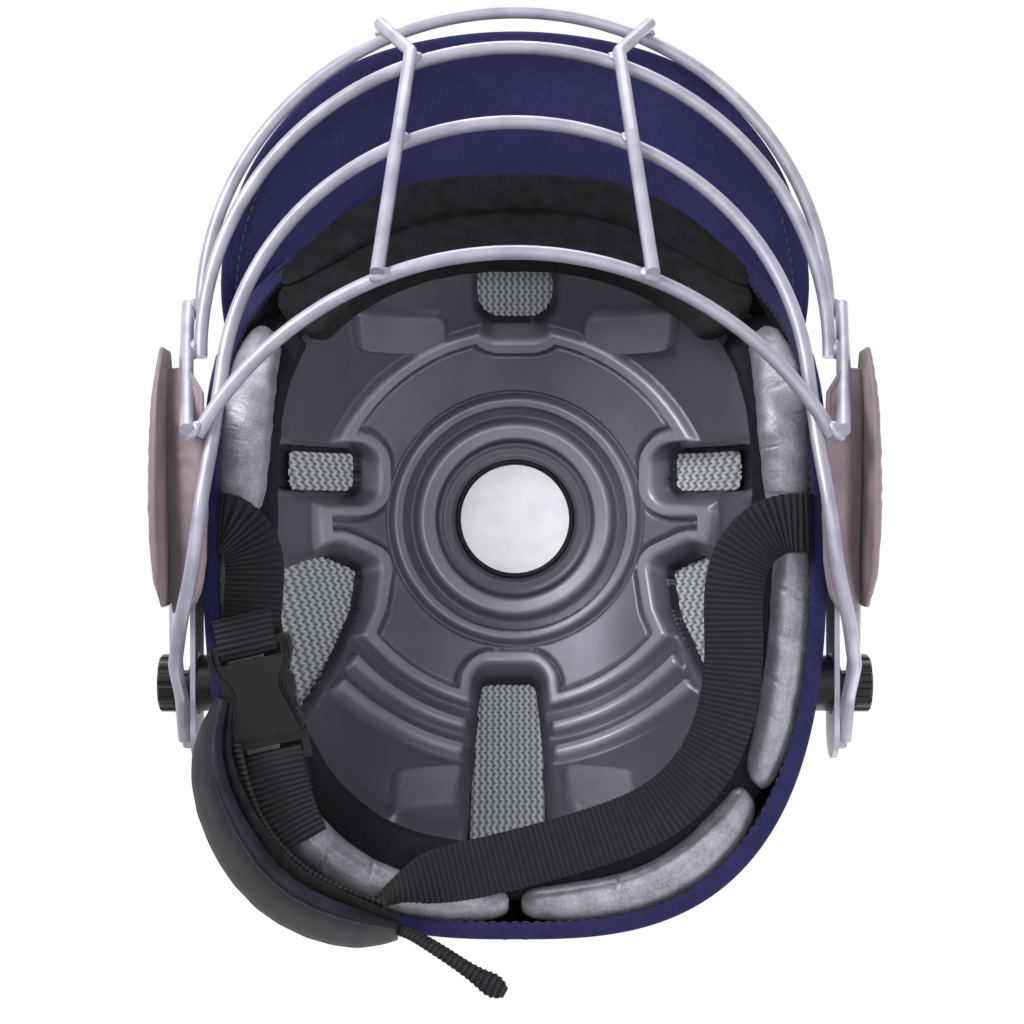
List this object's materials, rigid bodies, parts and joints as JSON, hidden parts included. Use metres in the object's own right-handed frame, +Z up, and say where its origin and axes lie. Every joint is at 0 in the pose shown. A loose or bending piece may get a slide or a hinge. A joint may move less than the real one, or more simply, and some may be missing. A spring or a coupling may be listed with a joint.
{
  "type": "cricket helmet",
  "caption": "Cloth-covered cricket helmet with peak, moulded liner, padded rim, tilting and sliding wire face guard on thumb screws, ear pads and a buckled chin strap with cup.",
  "frame": {"origin": "centre of the bounding box in plan, at floor level; the helmet stands upright as worn on the lowest wires of its face guard", "axes": "+Z up, -Y towards the peak and the face guard, +X towards the wearer's left"},
  "size_m": [0.247, 0.3475, 0.2162],
  "materials": {
    "shell_inside": "matte",
    "navy_cloth": "fine twill, slightly lustrous",
    "grey_foam": "smooth moulded foam, satin",
    "white_label": "bare, satin",
    "black_felt": "felted",
    "black_foam": "matte foam",
    "spacer_mesh": "knitted spacer mesh",
    "silver_vinyl": "metallic vinyl, soft sheen",
    "brass_insert": "turned",
    "black_plastic": "moulded, semi-gloss",
    "steel_hardware": "plated",
    "black_webbing": "ribbed woven webbing",
    "silver_wire": "silver powder coat",
    "ear_suede": "suede, sueded microfibre",
    "dark_leather": "smooth, semi-gloss"
  },
  "bodies": {
    "helmet": {"brow_pad": "black_felt", "crown_button": "navy_cloth", "crown_cloth": "navy_cloth", "crown_label": "white_label", "eva_liner": "grey_foam", "foam_band": "black_foam", "nape_pad_left": "silver_vinyl", "nape_pad_right": "silver_vinyl", "outer_shell": "shell_inside", "peak_cloth": "navy_cloth", "rim_binding": "navy_cloth", "side_pad_left": "silver_vinyl", "side_pad_right": "silver_vinyl", "spacer_left": "black_plastic", "spacer_right": "black_plastic", "strap_rivet_left": "steel_hardware", "strap_rivet_right": "steel_hardware", "strap_tab_left": "black_webbing", "strap_tab_right": "black_webbing", "temple_pad_left": "silver_vinyl", "temple_pad_right": "silver_vinyl", "thread_insert_left": "brass_insert", "thread_insert_right": "brass_insert", "vent_mesh_front": "spacer_mesh", "vent_mesh_front_left": "spacer_mesh", "vent_mesh_front_right": "spacer_mesh", "vent_mesh_rear": "spacer_mesh", "vent_mesh_rear_left": "spacer_mesh", "vent_mesh_rear_right": "spacer_mesh"},
    "clamp": {"clamp_washer_left": "black_plastic", "clamp_washer_right": "black_plastic"},
    "face_guard": {"top_bar": "silver_wire", "second_bar": "silver_wire", "third_bar": "silver_wire", "chin_bar": "silver_wire", "center_strut_left": "silver_wire", "center_strut_right": "silver_wire", "side_strut_left": "silver_wire", "side_strut_right": "silver_wire", "upper_side_wire_left": "silver_wire", "upper_side_wire_right": "silver_wire", "side_plate_left": "silver_wire", "side_plate_right": "silver_wire", "ear_pad_left": "ear_suede", "ear_pad_right": "ear_suede", "ear_pad_cover_left": "ear_suede", "ear_pad_cover_right": "ear_suede"},
    "thumb_screw_left": {"thumb_knob_left": "black_plastic", "screw_stud_left": "steel_hardware"},
    "thumb_screw_right": {"thumb_knob_right": "black_plastic", "screw_stud_right": "steel_hardware"},
    "chin_strap": {"strap_short": "black_webbing", "buckle_female": "black_plastic", "buckle_male": "black_plastic", "strap_loop": "black_webbing", "strap_long": "black_webbing", "chin_cup": "dark_leather", "chin_cup_lining": "black_felt", "cup_webbing": "black_webbing", "strap_tail": "black_webbing"}
  },
  "joints": [
    {"name": "guard_tilt", "type": "hinge", "parent": "helmet", "child": "clamp", "pos_m": [0, 0.07464, 0.05], "axis": [1, 0, 0], "range_deg": [-1, 1.5]},
    {"name": "guard_slide", "type": "slide", "parent": "clamp", "child": "face_guard", "axis": [0, 1, 0], "range_m": [-0.006, 0.006]},
    {"name": "left_screw_turn", "type": "hinge", "parent": "helmet", "child": "thumb_screw_left", "pos_m": [0.112, 0.07464, 0.05], "axis": [1, 0, 0], "continuous": true},
    {"name": "right_screw_turn", "type": "hinge", "parent": "helmet", "child": "thumb_screw_right", "pos_m": [-0.112, 0.07464, 0.05], "axis": [-1, 0, 0], "continuous": true},
    {"name": "strap_swing", "type": "hinge", "parent": "helmet", "child": "chin_strap", "pos_m": [0, 0.01864, 0.033], "axis": [-1, 0, 0], "range_deg": [0, 95]}
  ]
}
